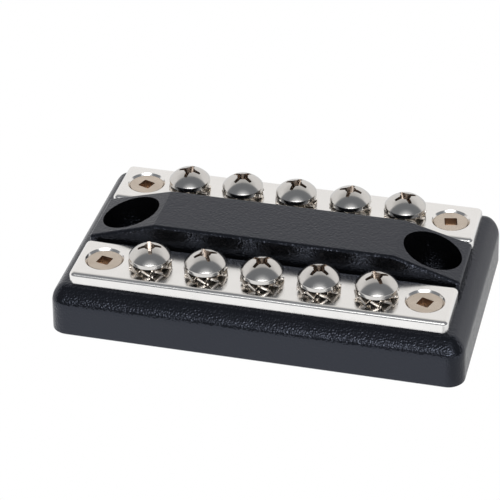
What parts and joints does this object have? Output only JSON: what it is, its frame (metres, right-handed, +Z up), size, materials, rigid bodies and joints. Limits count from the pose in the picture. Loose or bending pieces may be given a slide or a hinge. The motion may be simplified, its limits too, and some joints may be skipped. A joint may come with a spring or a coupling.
{
  "type": "bus bar",
  "caption": "Screw terminal bus bar: plated metal bars with pan head screws and toothed lock washers on a black moulded base with a raised ridge and mounting wells.",
  "frame": {"origin": "middle of the underside, on the surface that the base is fixed to", "axes": "+X along the bars, +Y from the front bar to the rear bar, +Z up out of the terminals"},
  "size_m": [0.093, 0.0538, 0.0195],
  "materials": {
    "black_plastic": "black moulded plastic with a fine grain",
    "plated_bar": "bright tin plated brass",
    "screw_nickel": "polished nickel plate",
    "washer_steel": "bright nickel plate with cut edges",
    "fixing_nickel": "satin nickel plate"
  },
  "bodies": {
    "base": {"base": "black_plastic", "front_bus_plate": "plated_bar", "rear_bus_plate": "plated_bar", "front_left_fixing_screw": "fixing_nickel", "front_right_fixing_screw": "fixing_nickel", "rear_left_fixing_screw": "fixing_nickel", "rear_right_fixing_screw": "fixing_nickel"},
    "front_lock_washer_1": {"front_lock_washer_1": "washer_steel"},
    "front_terminal_screw_1": {"front_terminal_screw_1": "screw_nickel"},
    "front_lock_washer_2": {"front_lock_washer_2": "washer_steel"},
    "front_terminal_screw_2": {"front_terminal_screw_2": "screw_nickel"},
    "front_lock_washer_3": {"front_lock_washer_3": "washer_steel"},
    "front_terminal_screw_3": {"front_terminal_screw_3": "screw_nickel"},
    "front_lock_washer_4": {"front_lock_washer_4": "washer_steel"},
    "front_terminal_screw_4": {"front_terminal_screw_4": "screw_nickel"},
    "front_lock_washer_5": {"front_lock_washer_5": "washer_steel"},
    "front_terminal_screw_5": {"front_terminal_screw_5": "screw_nickel"},
    "rear_lock_washer_1": {"rear_lock_washer_1": "washer_steel"},
    "rear_terminal_screw_1": {"rear_terminal_screw_1": "screw_nickel"},
    "rear_lock_washer_2": {"rear_lock_washer_2": "washer_steel"},
    "rear_terminal_screw_2": {"rear_terminal_screw_2": "screw_nickel"},
    "rear_lock_washer_3": {"rear_lock_washer_3": "washer_steel"},
    "rear_terminal_screw_3": {"rear_terminal_screw_3": "screw_nickel"},
    "rear_lock_washer_4": {"rear_lock_washer_4": "washer_steel"},
    "rear_terminal_screw_4": {"rear_terminal_screw_4": "screw_nickel"},
    "rear_lock_washer_5": {"rear_lock_washer_5": "washer_steel"},
    "rear_terminal_screw_5": {"rear_terminal_screw_5": "screw_nickel"}
  },
  "joints": [
    {"name": "front_rise_1", "type": "slide", "parent": "base", "child": "front_lock_washer_1", "axis": [0, 0, 1], "range_m": [0, 0.00556]},
    {"name": "front_screw_1", "type": "hinge", "parent": "front_lock_washer_1", "child": "front_terminal_screw_1", "pos_m": [-0.0254, -0.0163, 0.0145], "axis": [0, 0, 1], "range_deg": [0, 2520]},
    {"name": "front_rise_2", "type": "slide", "parent": "base", "child": "front_lock_washer_2", "axis": [0, 0, 1], "range_m": [0, 0.00556]},
    {"name": "front_screw_2", "type": "hinge", "parent": "front_lock_washer_2", "child": "front_terminal_screw_2", "pos_m": [-0.0127, -0.0163, 0.0145], "axis": [0, 0, 1], "range_deg": [0, 2520]},
    {"name": "front_rise_3", "type": "slide", "parent": "base", "child": "front_lock_washer_3", "axis": [0, 0, 1], "range_m": [0, 0.00556]},
    {"name": "front_screw_3", "type": "hinge", "parent": "front_lock_washer_3", "child": "front_terminal_screw_3", "pos_m": [0, -0.0163, 0.0145], "axis": [0, 0, 1], "range_deg": [0, 2520]},
    {"name": "front_rise_4", "type": "slide", "parent": "base", "child": "front_lock_washer_4", "axis": [0, 0, 1], "range_m": [0, 0.00556]},
    {"name": "front_screw_4", "type": "hinge", "parent": "front_lock_washer_4", "child": "front_terminal_screw_4", "pos_m": [0.0127, -0.0163, 0.0145], "axis": [0, 0, 1], "range_deg": [0, 2520]},
    {"name": "front_rise_5", "type": "slide", "parent": "base", "child": "front_lock_washer_5", "axis": [0, 0, 1], "range_m": [0, 0.00556]},
    {"name": "front_screw_5", "type": "hinge", "parent": "front_lock_washer_5", "child": "front_terminal_screw_5", "pos_m": [0.0254, -0.0163, 0.0145], "axis": [0, 0, 1], "range_deg": [0, 2520]},
    {"name": "rear_rise_1", "type": "slide", "parent": "base", "child": "rear_lock_washer_1", "axis": [0, 0, 1], "range_m": [0, 0.00556]},
    {"name": "rear_screw_1", "type": "hinge", "parent": "rear_lock_washer_1", "child": "rear_terminal_screw_1", "pos_m": [-0.0254, 0.0163, 0.0145], "axis": [0, 0, 1], "range_deg": [0, 2520]},
    {"name": "rear_rise_2", "type": "slide", "parent": "base", "child": "rear_lock_washer_2", "axis": [0, 0, 1], "range_m": [0, 0.00556]},
    {"name": "rear_screw_2", "type": "hinge", "parent": "rear_lock_washer_2", "child": "rear_terminal_screw_2", "pos_m": [-0.0127, 0.0163, 0.0145], "axis": [0, 0, 1], "range_deg": [0, 2520]},
    {"name": "rear_rise_3", "type": "slide", "parent": "base", "child": "rear_lock_washer_3", "axis": [0, 0, 1], "range_m": [0, 0.00556]},
    {"name": "rear_screw_3", "type": "hinge", "parent": "rear_lock_washer_3", "child": "rear_terminal_screw_3", "pos_m": [0, 0.0163, 0.0145], "axis": [0, 0, 1], "range_deg": [0, 2520]},
    {"name": "rear_rise_4", "type": "slide", "parent": "base", "child": "rear_lock_washer_4", "axis": [0, 0, 1], "range_m": [0, 0.00556]},
    {"name": "rear_screw_4", "type": "hinge", "parent": "rear_lock_washer_4", "child": "rear_terminal_screw_4", "pos_m": [0.0127, 0.0163, 0.0145], "axis": [0, 0, 1], "range_deg": [0, 2520]},
    {"name": "rear_rise_5", "type": "slide", "parent": "base", "child": "rear_lock_washer_5", "axis": [0, 0, 1], "range_m": [0, 0.00556]},
    {"name": "rear_screw_5", "type": "hinge", "parent": "rear_lock_washer_5", "child": "rear_terminal_screw_5", "pos_m": [0.0254, 0.0163, 0.0145], "axis": [0, 0, 1], "range_deg": [0, 2520]}
  ],
  "couplings": [
    {"joint": "front_screw_1", "follows": "front_rise_1", "rad_per_m": 7915.8},
    {"joint": "front_screw_2", "follows": "front_rise_2", "rad_per_m": 7915.8},
    {"joint": "front_screw_3", "follows": "front_rise_3", "rad_per_m": 7915.8},
    {"joint": "front_screw_4", "follows": "front_rise_4", "rad_per_m": 7915.8},
    {"joint": "front_screw_5", "follows": "front_rise_5", "rad_per_m": 7915.8},
    {"joint": "rear_screw_1", "follows": "rear_rise_1", "rad_per_m": 7915.8},
    {"joint": "rear_screw_2", "follows": "rear_rise_2", "rad_per_m": 7915.8},
    {"joint": "rear_screw_3", "follows": "rear_rise_3", "rad_per_m": 7915.8},
    {"joint": "rear_screw_4", "follows": "rear_rise_4", "rad_per_m": 7915.8},
    {"joint": "rear_screw_5", "follows": "rear_rise_5", "rad_per_m": 7915.8}
  ]
}
